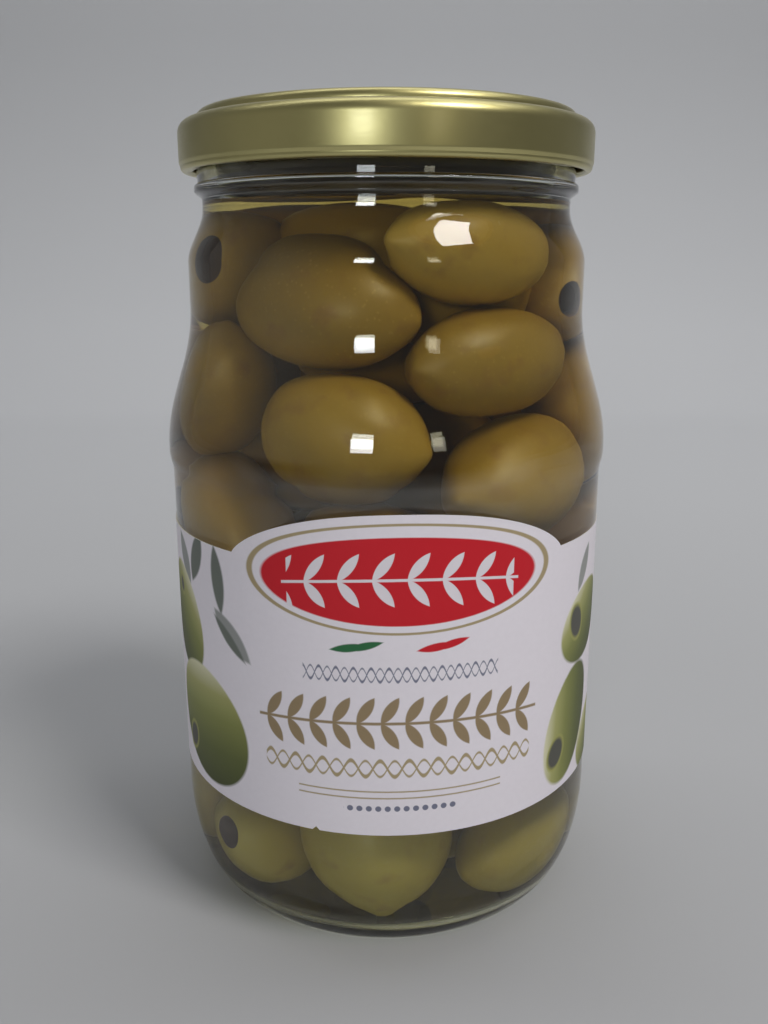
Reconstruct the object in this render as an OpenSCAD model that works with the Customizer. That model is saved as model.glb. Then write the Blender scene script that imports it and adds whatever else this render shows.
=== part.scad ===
// A twist-off glass jar of whole pitted olives in brine, with a stepped
// sheet-metal lid and a die-cut paper label. Millimetres, +Z up, with the
// origin at the middle of the foot.

/* [Glass body] */
// Diameter of the straight panel that carries the label
body_d = 86.6; // [72:0.2:104]
// Height of the panel's top edge above the surface the jar stands on
panel_top = 87.8; // [70:0.2:110]
// Thickness of the glass wall in the body
wall = 2.7; // [2:0.1:4]
// Thickness of the glass under the contents, at the middle
base_t = 3.6; // [3:0.1:6]
// How far the middle of the underside is pushed up
push_up = 3.2; // [1:0.1:5]
// How far the round heel reaches in from the panel
heel_w = 8.5; // [6:0.1:12]
// Height of the round heel
heel_h = 21; // [14:0.2:26]

/* [Glass shoulder and neck] */
// How far the bumper ring above the label stands out from the panel
ring_out = 0.6; // [0.3:0.1:1.5]
// Height of the swell from the panel to the crest of the bumper ring
ring_h = 4.2; // [3:0.1:8]
// Height of the straight crest of the bumper ring
crest_h = 0.8; // [0.4:0.1:3]
// Height of the shoulder, from the ring's crest down the curve to the waist
shoulder_h = 26.4; // [20:0.2:36]
// How far the straight waist under the neck stands out from the mouth
waist_out = 2.4; // [0.5:0.1:6]
// Height of the waist
waist_h = 8.3; // [5:0.1:14]
// Height of the curve from the waist to the neck
throat_h = 10; // [7:0.1:14]
// How far the neck is drawn in from the mouth, at its narrowest
neck_in = 0.8; // [0.2:0.1:1.5]
// Height of the narrowest stretch of the neck
neck_h = 1.6; // [1:0.1:4]

/* [Glass mouth under the lid] */
// Diameter of the glass mouth
mouth_d = 72.2; // [58:0.2:88]
// Thickness of the glass in the neck
neck_wall = 2.8; // [2.2:0.1:3.4]
// How far the carrying bead stands out from the mouth
bead_out = 0.6; // [0.3:0.1:2]
// Height of the carrying bead
bead_h = 4.2; // [3:0.1:6]
// Height of the rim above the bead
mouth_h = 11; // [9.4:0.1:14]
// How far the sealing lip is set in from the mouth
lip_in = 0.8; // [0.6:0.1:2]
// How far the thread ridges stand out from the mouth
thread_out = 1.3; // [0.8:0.1:1.6]
// Height of one thread ridge
thread_h = 1.5; // [1:0.1:2]
// Number of thread ridges, and of lugs on the lid
thread_count = 6; // [4:1:8]
// Angle that one thread ridge spans
thread_angle = 38; // [20:1:42]

/* [Lid] */
// Thickness of the lid's metal sheet
sheet = 0.3; // [0.2:0.05:0.5]
// Thickness of the rolled lower edge
roll_t = 1.6; // [1.2:0.1:2]
// Radius of the lid's rounded shoulder
shoulder_r = 2.2; // [1:0.1:3]
// Height of the raised ring on top above the lid's shoulder
top_rise = 1.7; // [1.7:0.1:4]
// Diameter of the safety button in the middle
button_d = 26; // [16:1:34]
// Height of the safety button above the dished floor round it
button_rise = 0.8; // [0.3:0.1:1.2]
// Depth of the dished floor inside the raised ring
dish = 1.1; // [0.9:0.1:2]
// Width of the raised ring
top_w = 4.2; // [3.6:0.1:8]
// Distance that a lug reaches in from the lid's rolled edge
lug_in = 1; // [0.6:0.1:1.2]
// Angle that one lug spans
lug_angle = 15; // [8:1:24]

/* [Contents] */
// Depth of the brine's surface under the glass rim
headspace = 15.4; // [7:0.1:22]

/* [Label] */
// Thickness of the paper
paper = 0.15; // [0.1:0.05:0.3]
// Height of bare panel between the heel and the label's lower edge
label_lift = 6.5; // [1:0.1:12]
// Height of the arch that stands above the label's sides at the front
arch_h = 9.4; // [0:0.2:14]
// Width of the arch, measured round the jar
arch_w = 65; // [40:1:100]
// Turn of the label's middle from the jar's front, to the right
label_turn = 3.7; // [-20:0.1:20]
// Width of bare glass between the label's two ends, at the back
label_gap = 36; // [10:1:90]

/* [Hidden] */

$fn = 96;
steps = 12;

// Height of bare glass between the bead and the lid's lower edge
lid_lift = 0.6;
// Clearance between a lug and the thread ridge above it
lug_gap = 0.3;
// Clearance between the thread ridges and the lid's skirt
thread_gap = 1.55;
// Clearance between the sealing lip and the wall of the lid's raised ring
lip_gap = 0.3;
// How far the lid's rolled edge is set in from its skirt
roll_in = 0.25;
// Width of the flat ring that the jar stands on
stand_w = 2;
// Radius of the bend round the top of the lid's raised ring
bend_r = 1.3;
// Height of bare panel between the label's arch and the swell above it
arch_gap = 0.2;

body_r = body_d / 2;
mouth_r = mouth_d / 2;
ring_r = body_r + ring_out;
waist_r = mouth_r + waist_out;
neck_r = mouth_r - neck_in;
bead_r = mouth_r + bead_out;
lip_r = mouth_r - lip_in;
bore_r = neck_r - neck_wall;
foot_r = body_r - heel_w;

ring_z = panel_top + ring_h;
waist_z = ring_z + crest_h + shoulder_h;
throat_z = waist_z + waist_h;
neck_z = throat_z + throat_h;
bead_z = neck_z + neck_h;
mouth_z = bead_z + bead_h;
rim_z = mouth_z + mouth_h;
brine_z = rim_z - headspace;

skirt_r = mouth_r + thread_out + thread_gap + sheet;
edge_r = skirt_r - roll_in;
top_r = lip_r + lip_gap + sheet;
button_r = button_d / 2;
roll_r = roll_t / 2;
lid_z = mouth_z + lid_lift;
top_z = rim_z + sheet;
shoulder_z = top_z - top_rise;
lug_t = roll_t * 0.75;
thread_z = lid_z + lug_t + lug_gap + thread_h / 2;

label_low = heel_h + label_lift;
label_high = panel_top - arch_gap;
side_z = label_high - arch_h;

// Points of a smooth S-curve from radius r0 at height z0 to r1 at z1
function ease(r0, z0, r1, z1) = [
    for (i = [0 : steps])
        let (t = i / steps)
        [r0 + (r1 - r0) * (1 - cos(180 * t)) / 2, z0 + (z1 - z0) * t]
];

// Points of a quarter ellipse from the foot up to the panel
function heel(foot, side, low, high) = [
    for (i = [0 : steps])
        let (a = 90 * i / steps)
        [foot + (side - foot) * sin(a), high - (high - low) * cos(a)]
];

// Points of a round arc about [r, z] with radius c, from angle a0 to a1
function arc(r, z, c, a0, a1) = [
    for (i = [0 : steps / 2])
        let (a = a0 + (a1 - a0) * i / (steps / 2))
        [r + c * cos(a), z + c * sin(a)]
];

// Points of a low dome from its middle, at height low + rise, out to radius r
function dome(r, low, rise) = [
    for (i = [0 : steps])
        let (a = 90 * i / steps)
        [r * sin(a), low + rise * cos(a)]
];

// Wall of the jar from the panel up to the neck, moved in by t, or tn at the neck
function body_curve(t, tn) = concat(
    ease(body_r - t, panel_top, ring_r - t, ring_z),
    ease(ring_r - t, ring_z + crest_h, waist_r - t, waist_z),
    ease(waist_r - t, throat_z, neck_r - tn, neck_z)
);

// Half-round outline of the carrying bead
function bead_curve() = [
    for (i = [0 : steps])
        let (a = 180 * i / steps, root_r = i < steps / 2 ? neck_r : mouth_r)
        [root_r + (bead_r - root_r) * sin(a), bead_z + bead_h * (1 - cos(a)) / 2]
];

// Inside of the jar, from the middle of its floor up to the neck
function inside_curve() = concat(
    dome(foot_r - wall, base_t, push_up),
    heel(foot_r - wall, body_r - wall, base_t, heel_h),
    body_curve(wall, neck_wall)
);

// One thread ridge on the mouth
module thread_ridge() {
    root_r = mouth_r - 0.5;
    crest_r = mouth_r + thread_out;
    flank_r = mouth_r + thread_out * 0.6;
    rotate_extrude(angle = thread_angle) polygon([
        [root_r, thread_z - thread_h / 2],
        [flank_r, thread_z - thread_h / 2],
        [crest_r, thread_z],
        [flank_r, thread_z + thread_h / 2],
        [root_r, thread_z + thread_h / 2]
    ]);
}

module jar() {
    lip = (lip_r - bore_r) / 2;
    step_z = shoulder_z - sheet - lip_gap;
    outline = concat(
        dome(foot_r - stand_w, 0, push_up),
        heel(foot_r, body_r, 0, heel_h),
        body_curve(0, 0),
        bead_curve(),
        [[mouth_r, step_z - lip_in], [lip_r, step_z]],
        arc(lip_r - lip, rim_z - lip, lip, 0, 180)
    );
    inner = inside_curve();
    down = [for (i = [len(inner) - 1 : -1 : 0]) inner[i]];
    color([0.78, 0.84, 0.80, 0.4]) {
        rotate_extrude() polygon(concat(outline, down));
        for (k = [0 : thread_count - 1])
            rotate([0, 0, k * 360 / thread_count]) thread_ridge();
    }
}

// One lug, bent in from the lid's rolled edge under a thread ridge
module lug() {
    rotate_extrude(angle = lug_angle)
        translate([edge_r - roll_t - lug_in, lid_z]) square([lug_in + roll_r, lug_t]);
}

// Section of the lid's sheet, of thickness t, from its middle to the rolled edge
function lid_curve(t) = concat(
    [[0, top_z - dish + button_rise - t]],
    [[button_r - button_rise * 3, top_z - dish + button_rise - t]],
    [[button_r, top_z - dish - t]],
    [[top_r - top_w - dish, top_z - dish - t], [top_r - top_w, top_z - t]],
    arc(top_r - bend_r, top_z - bend_r, bend_r - t, 90, 0),
    [[top_r - t, shoulder_z + 0.3], [top_r + 0.3, shoulder_z - t]],
    arc(skirt_r - shoulder_r, shoulder_z - shoulder_r, shoulder_r - t, 90, 0),
    [[skirt_r - t, lid_z + roll_t * 1.5], [edge_r - t, lid_z + roll_r]]
);

module lid() {
    under = lid_curve(sheet);
    back = [for (i = [len(under) - 1 : -1 : 0]) under[i]];
    turn = (thread_angle - lug_angle) / 2;
    color([0.62, 0.58, 0.36]) {
        rotate_extrude() polygon(concat(lid_curve(0), back));
        rotate_extrude() translate([edge_r - roll_r, lid_z + roll_r]) circle(r = roll_r);
        for (k = [0 : thread_count - 1])
            rotate([0, 0, k * 360 / thread_count + turn]) lug();
    }
}

// The paper as a ring round the panel, from height low to height high
module paper_ring(low, high) {
    translate([0, 0, low]) difference() {
        cylinder(r = body_r + paper, h = high - low);
        translate([0, 0, -1]) cylinder(r = body_r, h = high - low + 2);
    }
}

// The arch's outline, which bulges more than a round arc does
module arch_outline() {
    half = arch_w / 2;
    count = 4 * steps;
    points = [
        for (i = [0 : count])
            let (
                u = -cos(180 * i / count),
                up = arch_h * pow(max(0, 1 - pow(abs(u), 2.2)), 1 / 1.3)
            )
            [body_r * sin(half * u / body_r * 180 / PI), side_z + up]
    ];
    edge = body_r * sin(half / body_r * 180 / PI);
    polygon(concat([[-edge, side_z - 1]], points, [[edge, side_z - 1]]));
}

module label() {
    open_angle = label_gap / body_r * 180 / PI;
    color([0.88, 0.86, 0.88])
    rotate([0, 0, label_turn]) {
        difference() {
            paper_ring(label_low, side_z);
            rotate([0, 0, 90 - open_angle / 2])
                rotate_extrude(angle = open_angle)
                    translate([body_r - 2, label_low - 1]) square([4, side_z - label_low + 2]);
        }
        if (arch_h > 0) intersection() {
            paper_ring(side_z - 1, label_high + 1);
            rotate([90, 0, 0]) linear_extrude(body_r + 2) arch_outline();
        }
    }
}

module brine() {
    surface = [[bore_r, brine_z], [0, brine_z]];
    color([0.62, 0.55, 0.20, 0.7])
        rotate_extrude() polygon(concat(inside_curve(), surface));
}

jar();
lid();
label();
brine();
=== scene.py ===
import math

import bmesh
import bpy
import numpy as np
from mathutils import Matrix, Vector, noise


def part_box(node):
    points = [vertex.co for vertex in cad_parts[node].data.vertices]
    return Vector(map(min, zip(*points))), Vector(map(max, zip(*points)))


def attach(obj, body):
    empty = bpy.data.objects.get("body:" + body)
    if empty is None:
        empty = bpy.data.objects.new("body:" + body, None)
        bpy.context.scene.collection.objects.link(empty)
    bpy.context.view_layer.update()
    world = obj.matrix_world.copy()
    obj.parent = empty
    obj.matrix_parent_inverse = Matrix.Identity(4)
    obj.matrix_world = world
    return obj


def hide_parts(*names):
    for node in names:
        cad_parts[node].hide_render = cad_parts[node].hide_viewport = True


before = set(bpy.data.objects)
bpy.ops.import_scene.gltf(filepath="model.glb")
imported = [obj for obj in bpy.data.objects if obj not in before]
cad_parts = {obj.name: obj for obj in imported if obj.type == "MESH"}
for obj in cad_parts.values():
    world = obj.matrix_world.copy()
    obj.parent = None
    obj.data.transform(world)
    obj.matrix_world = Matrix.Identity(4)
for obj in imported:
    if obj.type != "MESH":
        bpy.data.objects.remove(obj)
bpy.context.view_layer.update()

scene = bpy.context.scene

# ---------------------------------------------------------------------------
# The jar: clear container glass, blown in a mould. It is one section spun
# round the axis, with the slow waves that blown glass has on its inner wall.
# ---------------------------------------------------------------------------

MM = 0.001
jar_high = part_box("jar")[1]
label_low, label_high = (corner.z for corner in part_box("label"))
brine_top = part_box("brine")[1].z
lid_bottom, lid_top = (corner.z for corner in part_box("lid"))

wall = 2.7 * MM
neck_wall = 2.8 * MM
base_thickness = 3.6 * MM
push_up = 3.2 * MM
ring_r = jar_high.x
body_r = ring_r - 0.6 * MM
foot_r = body_r - 8.5 * MM
heel_z = label_low - 6.5 * MM
panel_z = label_high + 0.2 * MM
ring_z = panel_z + 4.2 * MM
mouth_z = lid_bottom - 0.6 * MM
bead_z = mouth_z - 4.2 * MM
neck_z = bead_z - 1.6 * MM
throat_z = neck_z - 10 * MM
waist_z = throat_z - 8.3 * MM
rim_z = jar_high.z
mouth_r = 36.1 * MM
lip_r = mouth_r - 0.8 * MM
neck_r = mouth_r - 0.8 * MM
bead_r = mouth_r + 0.6 * MM
waist_r = mouth_r + 2.4 * MM


def s_curve(r0, z0, r1, z1, steps=14):
    """Points of a smooth S from radius r0 at height z0 to radius r1 at height z1."""
    shares = [i / steps for i in range(steps + 1)]
    return [(r0 + (r1 - r0) * (1 - math.cos(math.pi * t)) / 2, z0 + (z1 - z0) * t) for t in shares]


def quarter(r0, z0, r1, z1, steps=14):
    """Points of a quarter ellipse that leaves (r0, z0) level and reaches (r1, z1) upright."""
    turns = [math.pi / 2 * i / steps for i in range(steps + 1)]
    return [(r0 + (r1 - r0) * math.sin(a), z1 - (z1 - z0) * math.cos(a)) for a in turns]


def arc(r, z, radius, start, stop, steps=10):
    """Points of a round arc about (r, z), from angle start to stop in degrees."""
    turns = [math.radians(start + (stop - start) * i / steps) for i in range(steps + 1)]
    return [(r + radius * math.cos(a), z + radius * math.sin(a)) for a in turns]


def inside_wall(grow=0.0):
    """Section of the space in the jar, from the middle of its floor up to the neck, grown by a little."""
    floor_r = foot_r - wall
    return (
        quarter(0, base_thickness + push_up - grow, floor_r, base_thickness - grow)
        + quarter(floor_r, base_thickness - grow, body_r - wall + grow, heel_z)[1:]
        + s_curve(body_r - wall + grow, panel_z, ring_r - wall + grow, ring_z)
        + s_curve(ring_r - wall + grow, ring_z + 0.8 * MM, waist_r - wall + grow, waist_z)
        + s_curve(waist_r - wall + grow, throat_z, neck_r - neck_wall + grow, neck_z)
    )


def spun(section, steps=160):
    """A bmesh of the section's (radius, height) points, spun once round the jar's axis."""
    bm = bmesh.new()
    chain = [bm.verts.new((r, 0, z)) for r, z in section]
    edges = [bm.edges.new(pair) for pair in zip(chain, chain[1:])]
    bmesh.ops.spin(bm, geom=chain + edges, cent=(0, 0, 0), axis=(0, 0, 1), angle=math.tau,
                   steps=steps, use_merge=True)
    bmesh.ops.remove_doubles(bm, verts=bm.verts, dist=1e-6)
    bmesh.ops.recalc_face_normals(bm, faces=bm.faces)
    return bm


def piece(name, bm, *materials):
    """The finished, smooth-shaded object of a bmesh, riding on the part's one body."""
    mesh = bpy.data.meshes.new(name)
    bm.to_mesh(mesh)
    bm.free()
    mesh.shade_smooth()
    mesh.set_sharp_from_angle(angle=math.radians(50))
    for material in materials:
        mesh.materials.append(material)
    made = bpy.data.objects.new(name, mesh)
    scene.collection.objects.link(made)
    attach(made, "root")
    return made


def new_material(name):
    """A material with nodes, its node tree and its Principled shader."""
    material = bpy.data.materials.new(name)
    material.use_nodes = True
    return material, material.node_tree, material.node_tree.nodes["Principled BSDF"]


def node(tree, kind, **settings):
    """A new node of that kind, with its own settings and its plain input values set."""
    made = tree.nodes.new("ShaderNode" + kind)
    for key, value in settings.items():
        if hasattr(made, key):
            setattr(made, key, value)
        else:
            made.inputs[key.replace("_", " ")].default_value = value
    return made


def calc(tree, operation, *values):
    """The result of one Math node, fed with numbers or with other nodes' results."""
    made = node(tree, "Math", operation=operation)
    for socket, value in zip(made.inputs, values):
        if isinstance(value, (int, float)):
            socket.default_value = value
        else:
            tree.links.new(value, socket)
    return made.outputs[0]


def own_place(tree):
    """A spot's place in metres, whole and as its X, Y and Z."""
    place = node(tree, "TexCoord").outputs["Object"]
    split = node(tree, "SeparateXYZ")
    tree.links.new(place, split.inputs[0])
    return place, split.outputs["X"], split.outputs["Y"], split.outputs["Z"]


def clouds(tree, place, scale, detail, **settings):
    """Soft noise from 0 to 1 at that place, finer for a larger scale and rougher for more detail."""
    made = node(tree, "TexNoise", Scale=scale, Detail=detail, **settings)
    tree.links.new(place, made.inputs["Vector"])
    return made.outputs[0]


def cells(tree, place, scale):
    """Distance to the nearest of many scattered dots, more of them for a larger scale."""
    made = node(tree, "TexVoronoi", Scale=scale)
    tree.links.new(place, made.inputs["Vector"])
    return made.outputs["Distance"]


def give_relief(tree, shader, height, strength, depth):
    """Gives the shader fine relief from that height."""
    bump = node(tree, "Bump", Strength=strength, Distance=depth)
    tree.links.new(height, bump.inputs["Height"])
    tree.links.new(bump.outputs[0], shader.inputs["Normal"])


def let_light_in(tree, shader, tint):
    """Lets lamp light and soft light straight through, tinted, so that what is inside is lit."""
    through = node(tree, "BsdfTransparent", Color=(*tint, 1))
    path = node(tree, "LightPath")
    surface = shader.outputs[0]
    for ray in ("Is Diffuse Ray", "Is Shadow Ray"):
        mix = node(tree, "MixShader")
        tree.links.new(path.outputs[ray], mix.inputs[0])
        tree.links.new(surface, mix.inputs[1])
        tree.links.new(through.outputs[0], mix.inputs[2])
        surface = mix.outputs[0]
    tree.links.new(surface, tree.nodes["Material Output"].inputs["Surface"])


def clear_glass():
    """Smooth glass with faint ripples, the two mould seams and stippling under the foot."""
    material, tree, shader = new_material("clear_glass")
    shader.inputs["Base Color"].default_value = (0.93, 0.955, 0.93, 1)
    shader.inputs["Roughness"].default_value = 0.0
    shader.inputs["IOR"].default_value = 1.5
    shader.inputs["Transmission Weight"].default_value = 1.0
    seam_width, stipple_height = 0.18 * MM, 0.5 * MM
    place, _, y, z = own_place(tree)
    ripple = clouds(tree, place, 70.0, 1.0, Roughness=0.4)
    seam = calc(tree, "MULTIPLY", calc(tree, "LESS_THAN", calc(tree, "ABSOLUTE", y), seam_width), 0.5)
    under = calc(tree, "LESS_THAN", z, stipple_height)
    stipple = calc(tree, "MULTIPLY", calc(tree, "MULTIPLY", cells(tree, place, 1100.0), under), 1.5)
    relief = calc(tree, "ADD", calc(tree, "ADD", ripple, seam), stipple)
    give_relief(tree, shader, relief, 0.25, 0.1 * MM)
    let_light_in(tree, shader, (0.95, 0.97, 0.95))
    return material


lip = (lip_r - (neck_r - neck_wall)) / 2
lip_z = lid_top - 2.3 * MM
glass_section = (
    quarter(0, push_up, foot_r - 2 * MM, 0)
    + quarter(foot_r, 0, body_r, heel_z, 24)
    + s_curve(body_r, panel_z, ring_r, ring_z)
    + s_curve(ring_r, ring_z + 0.8 * MM, waist_r, waist_z, 24)
    + s_curve(waist_r, throat_z, neck_r, neck_z, 18)
    + [(neck_r, bead_z)]
    + s_curve(neck_r, bead_z, bead_r, bead_z + 1.4 * MM, 6)
    + arc(bead_r - 0.7 * MM, bead_z + 2.1 * MM, 0.7 * MM, 0, 90, 6)
    + s_curve(bead_r - 0.7 * MM, bead_z + 2.8 * MM, mouth_r, mouth_z, 5)[1:]
    + s_curve(mouth_r, lip_z - 0.8 * MM, lip_r, lip_z, 6)
    + arc(lip_r - lip, rim_z - lip, lip, 0, 180, 16)
    + inside_wall()[::-1]
)
bm = spun(glass_section)

# Slow waves of the blown walls, above the heel and below the bead
wavy_from_r = 25 * MM
wavy_from_z = 8 * MM
inner_wave = 0.10 * MM
outer_wave = 0.02 * MM
waves_across = 45
waves_up = 28
for vert in bm.verts:
    r = math.hypot(vert.co.x, vert.co.y)
    if r > wavy_from_r and wavy_from_z < vert.co.z < bead_z:
        inner = r < body_r - wall / 2 if vert.co.z < ring_z else r < waist_r - wall / 2
        height = inner_wave if inner else outer_wave
        spot = (vert.co.x * waves_across, vert.co.y * waves_across, vert.co.z * waves_up + 9 * inner)
        wave = noise.noise(Vector(spot))
        # The outer wall only moves inwards, so that it stays in its space
        vert.co.xy *= 1 + height * (wave if inner else wave - 1) / r
glass = piece("glass_jar", bm, clear_glass())
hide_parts("jar")

# ---------------------------------------------------------------------------
# The lid: thin tinplate, pressed and rolled, with olive-gold lacquer. Its
# section follows the sheet's middle line and is given the sheet's thickness.
# ---------------------------------------------------------------------------

sheet = 0.26 * MM
lid_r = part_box("lid")[1].x
skirt_r = lid_r - sheet / 2
edge_r = lid_r - 0.25 * MM
top_r = lip_r + 0.6 * MM - sheet / 2
shelf_z = lid_top - 1.7 * MM - sheet / 2
roll = 0.8 * MM


def rounded(corners):
    """Points along straight runs between (radius, height, bend radius) corners, each corner bent round."""
    points = [Vector(corners[0][:2])]
    for before, here, after in zip(corners, corners[1:], corners[2:]):
        corner = Vector(here[:2])
        a = (Vector(before[:2]) - corner).normalized()
        b = (Vector(after[:2]) - corner).normalized()
        half = math.acos(max(-1, min(1, a.dot(b)))) / 2
        reach = here[2] / math.tan(half)
        centre = corner + (a + b).normalized() * here[2] / math.sin(half)
        start, stop = corner + a * reach - centre, corner + b * reach - centre
        swing = start.angle_signed(stop)
        points += [centre + Matrix.Rotation(-swing * i / 8, 2) @ start for i in range(9)]
    points.append(Vector(corners[-1][:2]))
    return points


floor_z = lid_top - 1.1 * MM - sheet / 2
crown_z = lid_top - sheet / 2
middle_line = rounded([
    (0, floor_z + 0.8 * MM, 0),
    (10 * MM, floor_z + 0.8 * MM, 3 * MM),
    (13 * MM, floor_z, 3 * MM),
    (20.5 * MM, floor_z, 0.5 * MM),
    (21.2 * MM, floor_z + 0.3 * MM, 0.5 * MM),
    (22.4 * MM, floor_z + 0.3 * MM, 0.5 * MM),
    (23.1 * MM, floor_z, 0.5 * MM),
    (30.6 * MM, floor_z, 0.7 * MM),
    (31.7 * MM, crown_z, 0.7 * MM),
    (top_r, crown_z, 1.3 * MM),
    (top_r, shelf_z, 0.25 * MM),
    (skirt_r, shelf_z, 2.1 * MM),
    (skirt_r, lid_bottom + 1.6 * MM, 0.9 * MM),
    (edge_r - sheet / 2, lid_bottom + 1.0 * MM, 0.4 * MM),
    (edge_r - sheet / 2, lid_bottom + roll, 0),
])
middle_line += [Vector(p) for p in
                arc(edge_r - roll, lid_bottom + roll, roll - sheet / 2, 0, -300, 22)[1:]]
middle_line = [p for p, q in zip(middle_line, middle_line[1:]) if (q - p).length > 1e-6] + middle_line[-1:]
outer_side, inner_side = [], []
for i, point in enumerate(middle_line):
    along = middle_line[min(i + 1, len(middle_line) - 1)] - middle_line[max(i - 1, 0)]
    across = Vector((-along.y, along.x)).normalized() * sheet / 2
    if i == 0:
        across = Vector((0, sheet / 2))
    outer_side.append(point + across)
    inner_side.append(point - across)
bm = spun([tuple(p) for p in outer_side + inner_side[::-1]], 192)

# The rolled edge is pressed in at each lug; the angles are in degrees
lug_count = 6
lug_turn = 19
lug_half_angle = 9.0
lug_flank_angle = 2.5
lug_in = 1.0 * MM
lug_top = lid_bottom + 2 * MM
for vert in bm.verts:
    if vert.co.z < lug_top:
        bearing = math.degrees(math.atan2(vert.co.y, vert.co.x)) - lug_turn
        off = abs((bearing + 180 / lug_count) % (360 / lug_count) - 180 / lug_count)
        bend = max(0.0, min(1.0, (lug_half_angle - off) / lug_flank_angle))
        inside = max(0.0, min(1.0, (edge_r - vert.co.xy.length) / roll - 0.5))
        reach = min(1.0, (lug_top - vert.co.z) / (0.8 * MM))
        smooth_bend = bend * bend * (3 - 2 * bend)
        vert.co.xy *= 1 - lug_in * smooth_bend * inside * reach / vert.co.xy.length

# The inside of the sheet, above the roll, has its own lacquer, painted dark brown as painted shade inside
# the lid
inside_from = lid_bottom + 1.7 * MM
inside_to = floor_z + 3 * MM
for face in bm.faces:
    middle = face.calc_center_median()
    outward = face.normal.x * middle.x + face.normal.y * middle.y
    under = face.normal.z < -0.5 or outward < -0.3 * middle.xy.length
    face.material_index = 1 if under and inside_from < middle.z < inside_to else 0


def shaded(tree, share, stops):
    """The colour that runs through the (position, colour) stops as share grows."""
    ramp = node(tree, "ValToRGB")
    for i, (position, colour) in enumerate(stops):
        stop = ramp.color_ramp.elements[i] if i < 2 else ramp.color_ramp.elements.new(position)
        stop.position = position
        stop.color = (*colour, 1)
    tree.links.new(share, ramp.inputs[0])
    return ramp.outputs[0]


def gold_lacquer():
    """Satin olive-gold lacquer over tinplate: a glossy clear coat on a softly blurred metal."""
    material, tree, shader = new_material("gold_lacquer")
    shader.inputs["Metallic"].default_value = 1.0
    shader.inputs["Coat Weight"].default_value = 0.35
    shader.inputs["Coat Roughness"].default_value = 0.18
    shader.inputs["Coat IOR"].default_value = 1.5
    deep_gold, pale_gold = (0.475, 0.428, 0.18), (0.535, 0.487, 0.215)
    place = own_place(tree)[0]
    tone = shaded(tree, clouds(tree, place, 55.0, 4.0), [(0.3, deep_gold), (0.7, pale_gold)])
    tree.links.new(tone, shader.inputs["Base Color"])
    rolled = node(tree, "Mapping")
    rolled.inputs["Scale"].default_value = (1, 1, 9)
    tree.links.new(place, rolled.inputs["Vector"])
    blur = node(tree, "MapRange")
    blur.inputs["To Min"].default_value = 0.32
    blur.inputs["To Max"].default_value = 0.41
    tree.links.new(clouds(tree, rolled.outputs[0], 420.0, 3.0), blur.inputs[0])
    tree.links.new(blur.outputs[0], shader.inputs["Roughness"])
    give_relief(tree, shader, clouds(tree, place, 900.0, 2.0), 0.12, 0.05 * MM)
    return material


def inside_lacquer_painted_shade():
    """Lacquer on the inside of the lid, painted dull dark brown as painted shade inside the lid."""
    material, tree, shader = new_material("inside_lacquer_painted_shade")
    cloud = clouds(tree, own_place(tree)[0], 120.0, 3.0)
    tone = shaded(tree, cloud, [(0.0, (0.14, 0.11, 0.075)), (1.0, (0.20, 0.16, 0.11))])
    tree.links.new(tone, shader.inputs["Base Color"])
    shader.inputs["Roughness"].default_value = 0.5
    shader.inputs["Metallic"].default_value = 0.3
    give_relief(tree, shader, cloud, 0.1, 0.05 * MM)
    return material


lid = piece("twist_off_lid", bm, gold_lacquer(), inside_lacquer_painted_shade())
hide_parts("lid")

# ---------------------------------------------------------------------------
# The label: coated white paper, cut to shape and glued round the panel. Its
# flat outline is filled, cut into upright strips, wrapped and given thickness.
# ---------------------------------------------------------------------------

paper = 0.15 * MM
arch_height = 9.4 * MM
half_arch = 32.5 * MM
label_turn = math.radians(3.7)
half_length = body_r * math.pi - 18 * MM
side_top = label_high - arch_height
nick = -15.6 * MM
strip = 2.5 * MM
strips_each_side = 46
glue = 0.04 * MM


def arch_point(share):
    """A point on the arch's edge, from its left foot at -1 to its right foot at 1."""
    rise = max(0.0, 1 - abs(share) ** 2.2) ** (1 / 1.3)
    return half_arch * share, side_top + arch_height * rise


outline = [(-half_length, label_low), (nick - 0.9 * MM, label_low), (nick - 0.2 * MM, label_low + 0.7 * MM),
           (nick + 0.5 * MM, label_low), (half_length, label_low), (half_length, side_top)]
outline += [arch_point(math.cos(math.pi * i / 64)) for i in range(65)]
outline += [(-half_length, side_top)]
bm = bmesh.new()
bm.faces.new([bm.verts.new((x, 0, z)) for x, z in outline])
for i in range(-strips_each_side, strips_each_side + 1):
    everything = bm.verts[:] + bm.edges[:] + bm.faces[:]
    cut = (i * strip, 0, 0)
    bmesh.ops.bisect_plane(bm, geom=everything, dist=1e-7, plane_co=cut, plane_no=(1, 0, 0))
flat = bm.loops.layers.uv.new("print")
for face in bm.faces:
    for loop in face.loops:
        loop[flat].uv = (loop.vert.co.x / MM, loop.vert.co.z / MM)
for vert in bm.verts:
    turn = vert.co.x / body_r + label_turn
    r = body_r + paper - glue
    vert.co = (r * math.sin(turn), -r * math.cos(turn), vert.co.z)
bmesh.ops.recalc_face_normals(bm, faces=bm.faces)
front = bm.faces[0]
middle = front.calc_center_median()
if front.normal.x * middle.x + front.normal.y * middle.y < 0:
    bmesh.ops.reverse_faces(bm, faces=bm.faces)
bmesh.ops.solidify(bm, geom=bm.faces[:], thickness=paper)
for face in bm.faces:
    middle = face.calc_center_median().normalized()
    face.material_index = 0 if face.normal.x * middle.x + face.normal.y * middle.y > 0.5 else 1


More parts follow.
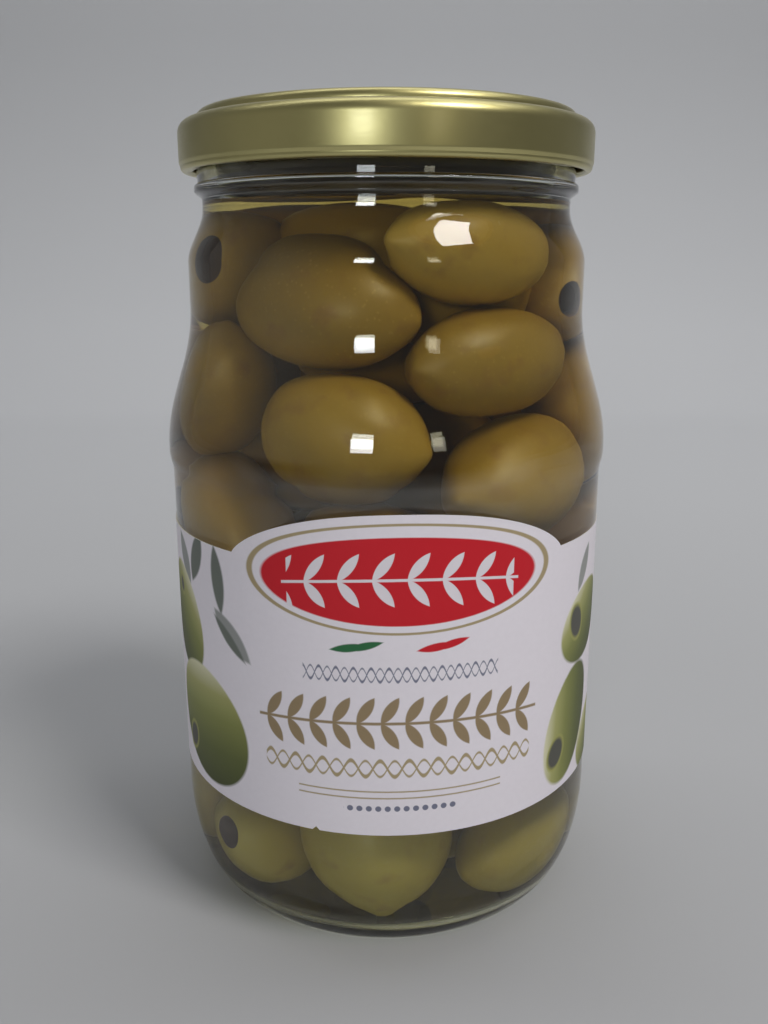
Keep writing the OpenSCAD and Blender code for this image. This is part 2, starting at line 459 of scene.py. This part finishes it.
def turned(tree, x, y, centre, turn, size=(1.0, 1.0)):
    """x and y counted from a centre along axes turned by that many degrees, in units of size."""
    dx, dy = calc(tree, "SUBTRACT", x, centre[0]), calc(tree, "SUBTRACT", y, centre[1])
    c, s = math.cos(math.radians(turn)), math.sin(math.radians(turn))
    u = calc(tree, "ADD", calc(tree, "MULTIPLY", dx, c / size[0]), calc(tree, "MULTIPLY", dy, s / size[0]))
    v = calc(tree, "ADD", calc(tree, "MULTIPLY", dx, -s / size[1]), calc(tree, "MULTIPLY", dy, c / size[1]))
    return u, v


def straight(tree, across, up):
    """Straight distance to the spot that far across and up."""
    squares = [calc(tree, "MULTIPLY", part, part) for part in (across, up)]
    return calc(tree, "SQRT", calc(tree, "ADD", *squares))


def oval(tree, x, y, centre, size, turn=0.0):
    """Distance in mm outside an oval with those half sizes, and a spot's place in units of them."""
    u, v = turned(tree, x, y, centre, turn, size)
    outside = calc(tree, "SUBTRACT", straight(tree, u, v), 1.0)
    return calc(tree, "MULTIPLY", outside, min(size)), u, v


def leaf(tree, x, y, centre, size, turn=0.0):
    """Distance in mm outside a pointed leaf with those half sizes."""
    bulge = (size[0] ** 2 + size[1] ** 2) / (2 * size[1])
    u, v = turned(tree, x, y, centre, turn)
    w = calc(tree, "ADD", calc(tree, "ABSOLUTE", v), bulge - size[1])
    return calc(tree, "SUBTRACT", straight(tree, u, w), bulge)


def inked(tree, distance, soft=0.12):
    """1 inside a shape and 0 outside it, from its distance, over a soft edge in mm."""
    share = node(tree, "Math", operation="MULTIPLY_ADD", use_clamp=True)
    tree.links.new(distance, share.inputs[0])
    share.inputs[1].default_value = -1 / soft
    share.inputs[2].default_value = 0.5
    return share.outputs[0]


def printed(tree, under, share, ink, blend="MIX"):
    """The colour under, with ink over it where share is 1."""
    mix = node(tree, "Mix", data_type="RGBA", blend_type=blend)
    tree.links.new(share, mix.inputs[0])
    for socket, colour in ((mix.inputs[6], under), (mix.inputs[7], ink)):
        if isinstance(colour, tuple):
            socket.default_value = (*colour, 1)
        else:
            tree.links.new(colour, socket)
    return mix.outputs[2]


def stroke(tree, off, width):
    """Distance in mm outside a line of that width, from the distance off its middle."""
    return calc(tree, "SUBTRACT", calc(tree, "ABSOLUTE", off), width / 2)


def between(tree, x, left, right):
    """Distance in mm outside the stretch from left to right."""
    return stroke(tree, calc(tree, "SUBTRACT", x, (left + right) / 2), right - left)


def both(tree, *distances):
    """Distance outside where several shapes overlap."""
    result = distances[0]
    for other in distances[1:]:
        result = calc(tree, "MAXIMUM", result, other)
    return result


def arched(tree, x, y, height, sag, middle=0.0):
    """Height above a line that is arched by sag mm over 26 mm to each side of its middle."""
    dx = calc(tree, "SUBTRACT", x, middle)
    bow = calc(tree, "MULTIPLY", calc(tree, "MULTIPLY", dx, dx), sag / 26 ** 2)
    return calc(tree, "ADD", calc(tree, "SUBTRACT", y, height), bow)


def garland(tree, x, off, pitch, size, turn):
    """Distance outside pairs of leaves that stand off a stem, one pair each pitch mm."""
    u = calc(tree, "SUBTRACT", calc(tree, "FLOORED_MODULO", x, pitch), pitch / 2)
    side = calc(tree, "ABSOLUTE", off)
    return leaf(tree, u, side, (0.0, size[0] * math.sin(math.radians(turn)) * 0.95), size, turn)


def printed_olive(tree, under, x, y, centre, size, turn, hole, hole_size):
    """A pitted green olive drawn with a light side, a shaded side and a dark hole in a pale rim."""
    edge, u, v = oval(tree, x, y, centre, size, turn)
    lit = calc(tree, "ADD", calc(tree, "MULTIPLY", u, -0.35), calc(tree, "MULTIPLY", v, 0.6))
    stops = [(0.0, (0.075, 0.09, 0.03)), (0.3, (0.13, 0.15, 0.045)), (0.6, (0.25, 0.27, 0.08)),
             (0.82, (0.42, 0.42, 0.16)), (1.0, (0.74, 0.72, 0.50))]
    skin = shaded(tree, calc(tree, "ADD", calc(tree, "MULTIPLY", lit, 0.75), 0.5), stops)
    colour = printed(tree, under, inked(tree, edge, 0.5), skin)
    pit = oval(tree, x, y, hole, hole_size, turn)[0]
    colour = printed(tree, colour, inked(tree, calc(tree, "SUBTRACT", pit, 0.5), 0.5), (0.40, 0.40, 0.12))
    return printed(tree, colour, inked(tree, pit, 0.7), (0.10, 0.10, 0.085))


def printed_paper():
    """Coated paper and its print: colour fields, leaf and wave ornaments and drawn olives, no lettering."""
    material, tree, shader = new_material("printed_paper")
    place = node(tree, "UVMap", uv_map="print").outputs[0]
    split = node(tree, "SeparateXYZ")
    tree.links.new(place, split.inputs[0])
    x, y = split.outputs["X"], split.outputs["Y"]
    fibre = clouds(tree, place, 0.9, 5.0)
    colour = printed(tree, (0.87, 0.825, 0.885), fibre, (0.92, 0.875, 0.935))

    leaf_dark, leaf_pale = (0.17, 0.19, 0.165), (0.34, 0.35, 0.34)
    leaves = [((-44.6, 74.5), (5.6, 2.1), 68, leaf_dark), ((-37.0, 71.9), (6.6, 1.8), 97, leaf_dark),
              ((-50.5, 73.0), (5.4, 2.0), 120, leaf_pale), ((-33.6, 61.9), (6.4, 2.0), -42, leaf_pale),
              ((-34.3, 61.2), (5.6, 1.0), -42, leaf_dark), ((43.0, 71.5), (5.0, 1.7), 60, leaf_pale)]
    for centre, size, turn, ink in leaves:
        colour = printed(tree, colour, inked(tree, leaf(tree, x, y, centre, size, turn), 0.5), ink)
    olives = [((-52.0, 60.5), (11.5, 8.0), -62, (-54.0, 66.5), (1.6, 1.2)),
              ((-43.5, 41.0), (13.6, 11.6), -24, (-50.5, 35.5), (2.0, 2.8)),
              ((45.0, 60.3), (10.8, 7.6), 16, (40.4, 61.2), (2.5, 3.3)),
              ((39.0, 40.6), (12.4, 8.0), 66, (34.2, 35.9), (3.1, 2.4)),
              ((53.0, 33.0), (9.0, 7.0), 20, (57.0, 35.0), (2.2, 2.0))]
    for centre, size, turn, hole, hole_size in olives:
        colour = printed_olive(tree, colour, x, y, centre, size, turn, hole, hole_size)

    # A second group of olives stands towards each end of the paper
    back_group = 88.0
    away = calc(tree, "SUBTRACT", calc(tree, "ABSOLUTE", x), back_group)
    for centre, turn, ink in (((-11.0, 61.0), 150, leaf_pale), ((9.5, 64.0), 35, leaf_dark)):
        shape = leaf(tree, away, y, centre, (7.5, 2.2), turn)
        colour = printed(tree, colour, inked(tree, shape, 0.5), ink)
    for centre, size, turn, hole, hole_size in (((-5.0, 52.0), (12.0, 9.0), 20, (-12.5, 50.0), (2.2, 2.6)),
                                                ((9.0, 48.0), (11.0, 8.2), -30, (14.0, 44.0), (2.2, 2.4))):
        colour = printed_olive(tree, colour, away, y, centre, size, turn, hole, hole_size)

    red, gold, pale_gold = (0.64, 0.016, 0.027), (0.33, 0.245, 0.14), (0.44, 0.35, 0.20)
    grey_blue, leaf_green, white = (0.20, 0.21, 0.29), (0.03, 0.16, 0.06), (0.86, 0.81, 0.86)
    field = oval(tree, x, y, (-0.2, 75.8), (25.6, 7.9))[0]
    ring = oval(tree, x, y, (0.0, 76.2), (28.3, 9.7))[0]
    colour = printed(tree, colour, inked(tree, stroke(tree, ring, 0.45)), pale_gold)
    colour = printed(tree, colour, inked(tree, field, 0.2), red)
    stem = arched(tree, x, y, 76.2, 2.2)
    sprig = both(tree, garland(tree, calc(tree, "ADD", x, 0.3), stem, 6.0, (3.1, 0.95), 52),
                 between(tree, x, -20.5, 20.5))
    twig = both(tree, stroke(tree, stem, 0.5), between(tree, x, -21.5, 21.5))
    colour = printed(tree, colour, inked(tree, calc(tree, "MINIMUM", sprig, twig)), white)
    for middle, ink in ((-8.0, leaf_green), (7.2, red)):
        mark = calc(tree, "MINIMUM", leaf(tree, x, y, (middle - 1.2, 63.8), (3.6, 0.75), 8),
                    leaf(tree, x, y, (middle + 1.4, 64.2), (3.4, 0.7), 14))
        colour = printed(tree, colour, inked(tree, mark, 0.2), ink)
    for height, sag, swing, pitch, width, half, ink in (
            (58.9, 0.4, 1.25, 3.1, 0.55, 17.7, grey_blue), (40.9, 0.3, 1.55, 5.2, 0.8, 25.7, pale_gold)):
        turns = calc(tree, "MULTIPLY", x, math.tau / pitch)
        wave = calc(tree, "MULTIPLY", calc(tree, "SINE", turns), swing)
        off = calc(tree, "SUBTRACT", arched(tree, x, y, height, sag), wave)
        twin = calc(tree, "ADD", arched(tree, x, y, height, sag), wave)
        rope = calc(tree, "MINIMUM", stroke(tree, off, width), stroke(tree, twin, width * 0.6))
        row = both(tree, rope, between(tree, x, -half, half))
        colour = printed(tree, colour, inked(tree, row, 0.25), ink)
    stem = arched(tree, x, y, 49.7, 0.9)
    title = both(tree, garland(tree, x, stem, 4.3, (3.0, 1.05), 58), between(tree, x, -25.8, 25.8))
    twig = both(tree, stroke(tree, stem, 0.55), between(tree, x, -27.0, 27.0))
    colour = printed(tree, colour, inked(tree, calc(tree, "MINIMUM", title, twig), 0.2), gold)
    for height in (36.3, 35.0):
        level = arched(tree, x, y, height, 0.0)
        rule = both(tree, stroke(tree, level, 0.28), between(tree, x, -19.0, 19.0))
        colour = printed(tree, colour, inked(tree, rule, 0.15), pale_gold)
    bead = calc(tree, "SUBTRACT", calc(tree, "FLOORED_MODULO", x, 1.7), 0.85)
    dots = both(tree, oval(tree, bead, y, (0.0, 32.9), (0.55, 0.55))[0], between(tree, x, -10.5, 10.0))
    colour = printed(tree, colour, inked(tree, dots), grey_blue)
    tree.links.new(colour, shader.inputs["Base Color"])
    shader.inputs["Roughness"].default_value = 0.5
    shader.inputs["Specular IOR Level"].default_value = 0.25
    give_relief(tree, shader, fibre, 0.15, 0.04 * MM)
    return material


def bare_paper():
    """The uncoated back and cut edge of the label, with the glue's faint streaks."""
    material, tree, shader = new_material("bare_paper")
    streak = clouds(tree, own_place(tree)[0], 160.0, 4.0)
    colour = printed(tree, (0.60, 0.57, 0.53), streak, (0.72, 0.70, 0.67))
    tree.links.new(colour, shader.inputs["Base Color"])
    shader.inputs["Roughness"].default_value = 0.85
    return material


label = piece("paper_label", bm, printed_paper(), bare_paper())
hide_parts("label")

# ---------------------------------------------------------------------------
# The brine: clear yellowish liquid that fills the jar up to its surface. It
# reaches just into the glass, and its surface climbs a little at the wall.
# ---------------------------------------------------------------------------

into_glass = 0.22 * MM
bore_r = neck_r - neck_wall
meniscus = 0.5 * MM
meniscus_width = 3.6 * MM
meniscus_fall = 0.9 * MM
brine_section = inside_wall(into_glass) + [(bore_r + into_glass, brine_top)]
brine_section += [(r, brine_top - meniscus + meniscus * math.exp((r - bore_r) / meniscus_fall))
                  for r in (bore_r - meniscus_width * i / 9 for i in range(10))]
brine_section += [(0, brine_top - meniscus)]


def yellow_brine():
    """Brine that swallows blue light along the way through it."""
    material, tree, shader = new_material("yellow_brine")
    shader.inputs["Base Color"].default_value = (0.97, 0.94, 0.80, 1)
    shader.inputs["Roughness"].default_value = 0.0
    shader.inputs["IOR"].default_value = 1.34
    shader.inputs["Transmission Weight"].default_value = 1.0
    swallow = node(tree, "VolumeAbsorption", Color=(0.91, 0.82, 0.42, 1), Density=55.0)
    tree.links.new(swallow.outputs[0], tree.nodes["Material Output"].inputs["Volume"])
    let_light_in(tree, shader, (0.985, 0.97, 0.90))
    return material


brine = piece("brine_fill", spun(brine_section, 128), yellow_brine())
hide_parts("brine")

# ---------------------------------------------------------------------------
# The olives: large green ones, pitted, so each has a punched hole at one end
# and a small point at the other. The ones at the front wall are placed one by
# one, and the rest settle round them under their own weight.
# ---------------------------------------------------------------------------

# Each is, in degrees and mm: bearing from the front, height, half length, half width, tilt of the
# hole end, its turn outward, and the gap to the wall
front_olives = [
    (-22.4, 119.5, 16.2, 11.1, 177, -10, 0.3), (28.9, 129.5, 15.6, 8.7, -5, -10, 0.3),
    (37.5, 110.0, 16.8, 10.3, 0, -10, 0.3), (-13, 98.0, 14.6, 10.5, 173, -12, 0.3),
    (45, 88.8, 16.4, 10.8, 0, -12, 0.3), (-59, 79.2, 15.2, 10.8, 135, -12, 0.3),
    (-86, 125.4, 13.5, 10.4, 11, 28, 0.3), (-66, 104.2, 13.2, 9.6, -105, 0, 0.3),
    (93, 121.0, 13.5, 10.0, 180, 24, 0.3), (96, 99.0, 13.5, 10.0, 60, 0, 0.3),
    (-49.5, 15.6, 13.0, 9.6, 90, 80, 0.3), (-4, 19.8, 14.5, 13.2, 97, -12, 0.3),
    (50, 15.0, 13.8, 9.8, 10, 0, 0.3), (-30, 127.9, 14.0, 10.0, 175, 25, 19.5),
    (14, 108.2, 14.0, 9.9, 4, 0, 24.5), (200, 127.6, 14.0, 10.0, 8, 0, 0.3),
    (143, 127.8, 13.6, 9.6, -12, 0, 0.3),
]
loose_olives = 40
rng = np.random.default_rng(7)

# The packing works in mm. The olives swell from part of their size while they sink
rounds = 900
first_swell = 0.55
swell_speed = 0.9
sinking_share = 0.8
sink_step = 0.06
push_share = 0.8
touch_weight = 0.35
wall_gap = 0.3
under_surface = 1.2
slimmer_ball = 0.95

# Loose olives above the label keep behind the listed ones
kept_behind_z = 84
kept_behind_x = 30
second_row = -9.0
longest_step_back = 0.6


def densely(section, gap):
    """Points no further than gap apart along a section's straight runs."""
    points = []
    for a, b in zip(section, section[1:]):
        count = max(1, int(math.dist(a, b) / gap))
        points += [[a[k] + (b[k] - a[k]) * i / count for k in (0, 1)] for i in range(count)]
    return np.array(points)


def two_ends(middle, axis, off):
    """The places of the two balls that stand for each olive, that far off its middle."""
    return np.vstack([middle + axis * off, middle - axis * off])


def settled():
    """Middle, long axis, half length and half width of every olive once they have settled."""
    olive_top = brine_top - under_surface * MM
    space = inside_wall() + [(bore_r, olive_top), (0, olive_top)]
    shell = densely([(r / MM, z / MM) for r, z in space], 1.5)
    placed = len(front_olives)
    count = placed + loose_olives
    length = np.r_[[o[2] for o in front_olives], rng.normal(14.0, 0.8, loose_olives)]
    width = np.r_[[o[3] for o in front_olives], rng.normal(10.4, 0.5, loose_olives)]
    middle, axis = np.zeros((count, 3)), np.zeros((count, 3))
    for i, (bearing, height, a, b, tilt, outward, gap) in enumerate(front_olives):
        phi, tau, psi = (math.radians(v) for v in (bearing, tilt, outward))
        wall_r = shell[np.argmin(abs(shell[:, 1] - height) + 99 * (shell[:, 0] < 20)), 0]
        out = np.array([math.sin(phi), -math.cos(phi), 0])
        along = np.array([math.cos(phi), math.sin(phi), 0])
        level = along * math.cos(tau) + np.array([0, 0, 1]) * math.sin(tau)
        axis[i] = level * math.cos(psi) + out * math.sin(psi)
        reach = math.hypot(a * math.sin(psi), b * math.cos(psi))
        middle[i] = out * (wall_r - reach - gap) + np.array([0, 0, height])
    for i in range(placed, count):
        r, phi = math.sqrt(rng.random()) * 28, rng.random() * math.tau
        middle[i] = r * math.cos(phi), r * math.sin(phi), rng.uniform(16, 130)
        way = rng.normal(size=3) * (1, 1, 0.6)
        axis[i] = way / np.linalg.norm(way)

    # Each olive is felt as two balls on its long axis, and the listed ones stay where they are
    ball = np.r_[width, width] * slimmer_ball
    off = np.maximum(length - width * slimmer_ball - 0.6, 0)[:, None]
    owner = np.r_[np.arange(count), np.arange(count)]
    held = owner < placed
    loose = ~held[:count]
    first, second = np.triu_indices(2 * count, 1)
    apart = (owner[first] != owner[second]) & ~(held[first] & held[second])
    first, second = first[apart], second[apart]
    weight = np.where(held, 0.0, 1.0)
    rows = np.arange(2 * count)
    spots = two_ends(middle, axis, off)
    for step in range(rounds):
        swell = min(1.0, first_swell + swell_speed * step / rounds)
        if step < rounds * sinking_share:
            spots[~held, 2] -= sink_step

        # Balls of different olives push each other apart
        gap = spots[first] - spots[second]
        far = np.linalg.norm(gap, axis=1) + 1e-9
        near = far < (ball[first] + ball[second]) * swell
        i, j, gap, far = first[near], second[near], gap[near], far[near]
        overlap = (ball[i] + ball[j]) * swell - far
        push = gap * (overlap / far / (weight[i] + weight[j]) * push_share)[:, None]
        move, touches = np.zeros_like(spots), np.ones(len(spots))
        np.add.at(move, i, push * weight[i, None])
        np.add.at(move, j, -push * weight[j, None])
        np.add.at(touches, i, touch_weight)
        np.add.at(touches, j, touch_weight)
        spots += move / np.minimum(touches, 2)[:, None]

        # The wall pushes them back in
        r = np.hypot(spots[:, 0], spots[:, 1])
        from_wall = np.c_[r, spots[:, 2]][:, None] - shell[None]
        distance = np.hypot(from_wall[..., 0], from_wall[..., 1])
        nearest = distance.argmin(1)
        short = ball * swell + wall_gap - distance[rows, nearest]
        short = np.where(held, 0, np.clip(short, 0, None))
        inward = from_wall[rows, nearest] / np.maximum(distance[rows, nearest], 1e-6)[:, None]
        spots[:, :2] *= ((r + inward[:, 0] * short) / np.maximum(r, 1e-6))[:, None]
        spots[:, 2] += inward[:, 1] * short
        ahead = ~held & (spots[:, 2] > kept_behind_z) & (spots[:, 1] < 0)
        ahead &= np.abs(spots[:, 0]) < kept_behind_x
        spots[ahead, 1] += np.clip(second_row - spots[ahead, 1], 0, longest_step_back)

        # The two balls of each loose olive go back to their own distance
        ends = spots[:count] - spots[count:]
        ends /= np.maximum(np.linalg.norm(ends, axis=1), 1e-6)[:, None]
        middle[loose] = ((spots[:count] + spots[count:]) / 2)[loose]
        axis[loose] = ends[loose]
        spots = two_ends(middle, axis, off)
    return middle, axis, length, width


hole_from = 0.945
hole_depth = 0.62
hole_taper = 0.8


def pitted_olive(middle, axis, length, width, seed):
    """One olive's bmesh: an egg-like body with a point at one end and a punched hole at the other."""
    bm = bmesh.new()
    tone = bm.verts.layers.float.new("tone")
    bmesh.ops.create_uvsphere(bm, u_segments=36, v_segments=26, radius=1.0)
    cap = [face for face in bm.faces if face.calc_center_median().z > hole_from]
    bmesh.ops.inset_region(bm, faces=cap, thickness=0.03, use_even_offset=True)
    sunk = bmesh.ops.extrude_face_region(bm, geom=cap)["geom"]
    bmesh.ops.delete(bm, geom=cap, context="FACES")
    sunk = [item for item in sunk if isinstance(item, bmesh.types.BMVert)]
    for vert in sunk:
        vert.co.z -= hole_depth
        vert.co.xy *= hole_taper
        for face in vert.link_faces:
            face.material_index = 1
    shift = Vector((seed * 7.3, seed * 3.1, seed * 5.7))
    turn = Vector(axis).to_track_quat("Z", "Y").to_matrix() @ Matrix.Rotation(seed * 2.4, 3, "Z")
    lean = 0.10 * math.sin(seed * 1.7)
    own_tone = (math.sin(seed * 12.9898) * 43758.5453) % 1.0
    for vert in bm.verts:
        x, y, z = vert.co
        slim = 1 + 0.04 * z - 0.12 * max(0.0, -z) ** 3
        lump = 1 + 0.045 * noise.noise(vert.co * 1.3 + shift) + 0.012 * noise.noise(vert.co * 4 + shift)
        nipple = -0.05 * max(0.0, -z) ** 40
        spot = Vector((x * slim * width + lean * z * z, y * slim * width, (z + nipple) * length))
        vert.co = (turn @ (spot * lump) + Vector(middle)) * MM
        vert[tone] = own_tone
    return bm


def olive_skin():
    """Waxy skin: a slow drift of colour, a tone of its own per olive, pale freckles and bruises."""
    material, tree, shader = new_material("olive_skin")
    place, _, _, z = own_place(tree)
    tone = node(tree, "Attribute", attribute_name="tone").outputs["Fac"]
    drift = calc(tree, "MULTIPLY", clouds(tree, place, 75.0, 3.0), 0.55)
    share = calc(tree, "ADD", calc(tree, "MULTIPLY", tone, 0.6), drift)
    skin = shaded(tree, share, [(0.15, (0.273, 0.211, 0.042)), (0.55, (0.357, 0.284, 0.059)),
                                (0.95, (0.42, 0.346, 0.077))])
    dots = inked(tree, calc(tree, "SUBTRACT", cells(tree, place, 900.0), 0.16), 0.2)
    colour = printed(tree, skin, calc(tree, "MULTIPLY", dots, 0.35), (0.50, 0.42, 0.14))
    bruise = clouds(tree, place, 190.0, 5.0)
    dark = inked(tree, calc(tree, "SUBTRACT", 0.64, bruise), 0.16)
    colour = printed(tree, colour, calc(tree, "MULTIPLY", dark, 0.5), (0.24, 0.15, 0.05))

    # Greener near the jar's base and browner above the label
    higher = node(tree, "MapRange", interpolation_type="SMOOTHSTEP")
    higher.inputs["From Min"].default_value = 28 * MM
    higher.inputs["From Max"].default_value = 75 * MM
    tree.links.new(z, higher.inputs["Value"])
    riper = printed(tree, colour, higher.outputs[0], (0.965, 0.75, 0.60), "MULTIPLY")
    tree.links.new(riper, shader.inputs["Base Color"])
    shader.inputs["Roughness"].default_value = 0.38
    shader.inputs["Specular IOR Level"].default_value = 0.25
    shader.inputs["Subsurface Weight"].default_value = 0.25
    shader.inputs["Subsurface Radius"].default_value = (1.0, 0.75, 0.3)
    shader.inputs["Subsurface Scale"].default_value = 1.6 * MM
    give_relief(tree, shader, bruise, 0.25, 0.12 * MM)
    return material


def pit_hole_painted_shade():
    """The inside of a pitted olive's hole, painted near-black purple-brown as painted shade in the deep
    hole, with a fibrous mottle.
    """
    material, tree, shader = new_material("pit_hole_painted_shade")
    fibre = clouds(tree, own_place(tree)[0], 300.0, 4.0)
    colour = printed(tree, (0.055, 0.026, 0.026), fibre, (0.12, 0.062, 0.052))
    tree.links.new(colour, shader.inputs["Base Color"])
    shader.inputs["Roughness"].default_value = 0.7
    return material


bm = bmesh.new()
scratch = bpy.data.meshes.new("one_olive")
for seed, sizes in enumerate(zip(*settled())):
    one = pitted_olive(*sizes, seed)
    one.to_mesh(scratch)
    one.free()
    bm.from_mesh(scratch)
bpy.data.meshes.remove(scratch)
bmesh.ops.recalc_face_normals(bm, faces=bm.faces)
olives = piece("olives", bm, olive_skin(), pit_hole_painted_shade())
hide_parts("brine")

# ---------------------------------------------------------------------------
# The studio: a pale floor that sweeps up behind, a soft ceiling light and two
# windows to the front, and the camera a little above the jar's neck.
# ---------------------------------------------------------------------------

sweep_reach = 1.6
sweep_bend = 0.35
bend_from = 0.55
bend_turns = [math.pi / 2 * i / 16 for i in range(17)]
bend = [(bend_from + sweep_bend * math.sin(a), sweep_bend - sweep_bend * math.cos(a)) for a in bend_turns]
profile = [(-sweep_reach, 0)] + bend + [(bend_from + sweep_bend, sweep_reach)]
bm = bmesh.new()
side = [bm.verts.new((-sweep_reach, y, z)) for y, z in profile]
run = [bm.edges.new(pair) for pair in zip(side, side[1:])]
swept = bmesh.ops.extrude_edge_only(bm, edges=run)["geom"]
for vert in swept:
    if isinstance(vert, bmesh.types.BMVert):
        vert.co.x = sweep_reach
mesh = bpy.data.meshes.new("studio_floor")
bm.to_mesh(mesh)
bm.free()
mesh.shade_smooth()
material, tree, shader = new_material("paper_sweep_painted_shade")
_, _, y, z = own_place(tree)
# The floor's grey runs in bands along it and up the sweep, as painted light and shade: dark far to the
# front, a bright band just in front of the jar, darker under it, lighter at the foot of the sweep and
# darker again higher up
painted_shade_bands = [(0.0, 0.16), (0.12, 0.32), (0.19, 0.66), (0.235, 0.70), (0.268, 0.46), (0.34, 0.50),
          (0.424, 0.58), (0.54, 0.67), (0.62, 0.65), (0.712, 0.585), (0.796, 0.51), (0.94, 0.44)]
along_sweep = calc(tree, "MULTIPLY_ADD", calc(tree, "ADD", y, z), 0.4, 0.3)
pale = shaded(tree, along_sweep, [(at, (grey, grey * 1.02, grey * 1.05)) for at, grey in painted_shade_bands])
tree.links.new(pale, shader.inputs["Base Color"])
shader.inputs["Roughness"].default_value = 0.9
mesh.materials.append(material)
floor = bpy.data.objects.new("studio_floor", mesh)
scene.collection.objects.link(floor)


def area_light(name, place, way, width, tall, power, colour):
    """A soft area light at that place, with its back towards that way."""
    light = bpy.data.lights.new(name, "AREA")
    light.shape = "RECTANGLE"
    light.size, light.size_y = width, tall
    light.energy = power
    light.color = colour
    made = bpy.data.objects.new(name, light)
    made.location = place
    made.rotation_euler = way.to_track_quat("Z", "Y").to_euler()
    scene.collection.objects.link(made)


def lamp(name, bearing, height, distance, width, tall, power, colour):
    """An area light that faces the middle of the jar, at that bearing and elevation in degrees."""
    a, e = math.radians(bearing), math.radians(height)
    way = Vector((math.sin(a) * math.cos(e), -math.cos(a) * math.cos(e), math.sin(e)))
    area_light(name, jar_middle + way * distance, way, width, tall, power, colour)


jar_middle = Vector((0, 0, 0.09))
lamp("ceiling_light", 47, 52, 1.1, 0.31, 0.36, 5.6, (1.0, 0.97, 0.95))
lamp("left_window", -12, 13, 1.3, 0.24, 0.17, 2.1, (0.92, 0.96, 1.0))
lamp("right_window", 26, 13, 1.3, 0.14, 0.16, 0.25, (1.0, 0.93, 0.72))
lamp("top_softbox", 160, 75, 1.3, 1.2, 1.0, 2.4, (1.0, 1.0, 1.0))

area_light("backdrop_light", (0, 0.15, 1.0), Vector((0, -0.75, 0.75)), 1.6, 0.3, 3.0, (1.0, 1.0, 1.0))

# The room is darker to the front, with a pale wall to the left
world = bpy.data.worlds.new("studio_air")
scene.world = world
world.use_nodes = True
tree = world.node_tree
way_out = node(tree, "TexCoord").outputs["Generated"]
split = node(tree, "SeparateXYZ")
tree.links.new(way_out, split.inputs[0])
backwards = calc(tree, "MULTIPLY_ADD", split.outputs["Y"], 0.5, 0.5)
air = shaded(tree, backwards, [(0.40, (0.106, 0.106, 0.110)), (0.85, (0.21, 0.21, 0.22))])
wall_way = node(tree, "VectorMath", operation="DOT_PRODUCT")
wall_way.inputs[1].default_value = (-0.91, -0.40, 0.10)
tree.links.new(way_out, wall_way.inputs[0])
pale_wall = calc(tree, "POWER", calc(tree, "MAXIMUM", wall_way.outputs["Value"], 0.0), 7.0)
gain = node(tree, "CombineXYZ")
for socket, share in zip(gain.inputs, (0.17, 0.165, 0.15)):
    tree.links.new(calc(tree, "MULTIPLY", pale_wall, share), socket)
lift = node(tree, "Mix", data_type="RGBA", blend_type="ADD")
lift.inputs["Factor"].default_value = 1.0
tree.links.new(air, lift.inputs[6])
tree.links.new(gain.outputs[0], lift.inputs[7])
tree.links.new(lift.outputs[2], tree.nodes["Background"].inputs["Color"])

scene.view_settings.view_transform = "Standard"
scene.cycles.transparent_max_bounces = 32
scene.cycles.max_bounces = 20
scene.cycles.transmission_bounces = 20

camera_data = bpy.data.cameras.new("camera")
camera_data.lens = 34.34
camera_data.sensor_width = 36.0
camera_data.shift_x = -0.0023
camera_data.clip_start = 0.01
camera = bpy.data.objects.new("camera", camera_data)
camera.location = (0, -0.1992, 0.1297)
camera.rotation_euler = (math.radians(90 - 14.93), 0, 0)
scene.collection.objects.link(camera)
scene.camera = camera
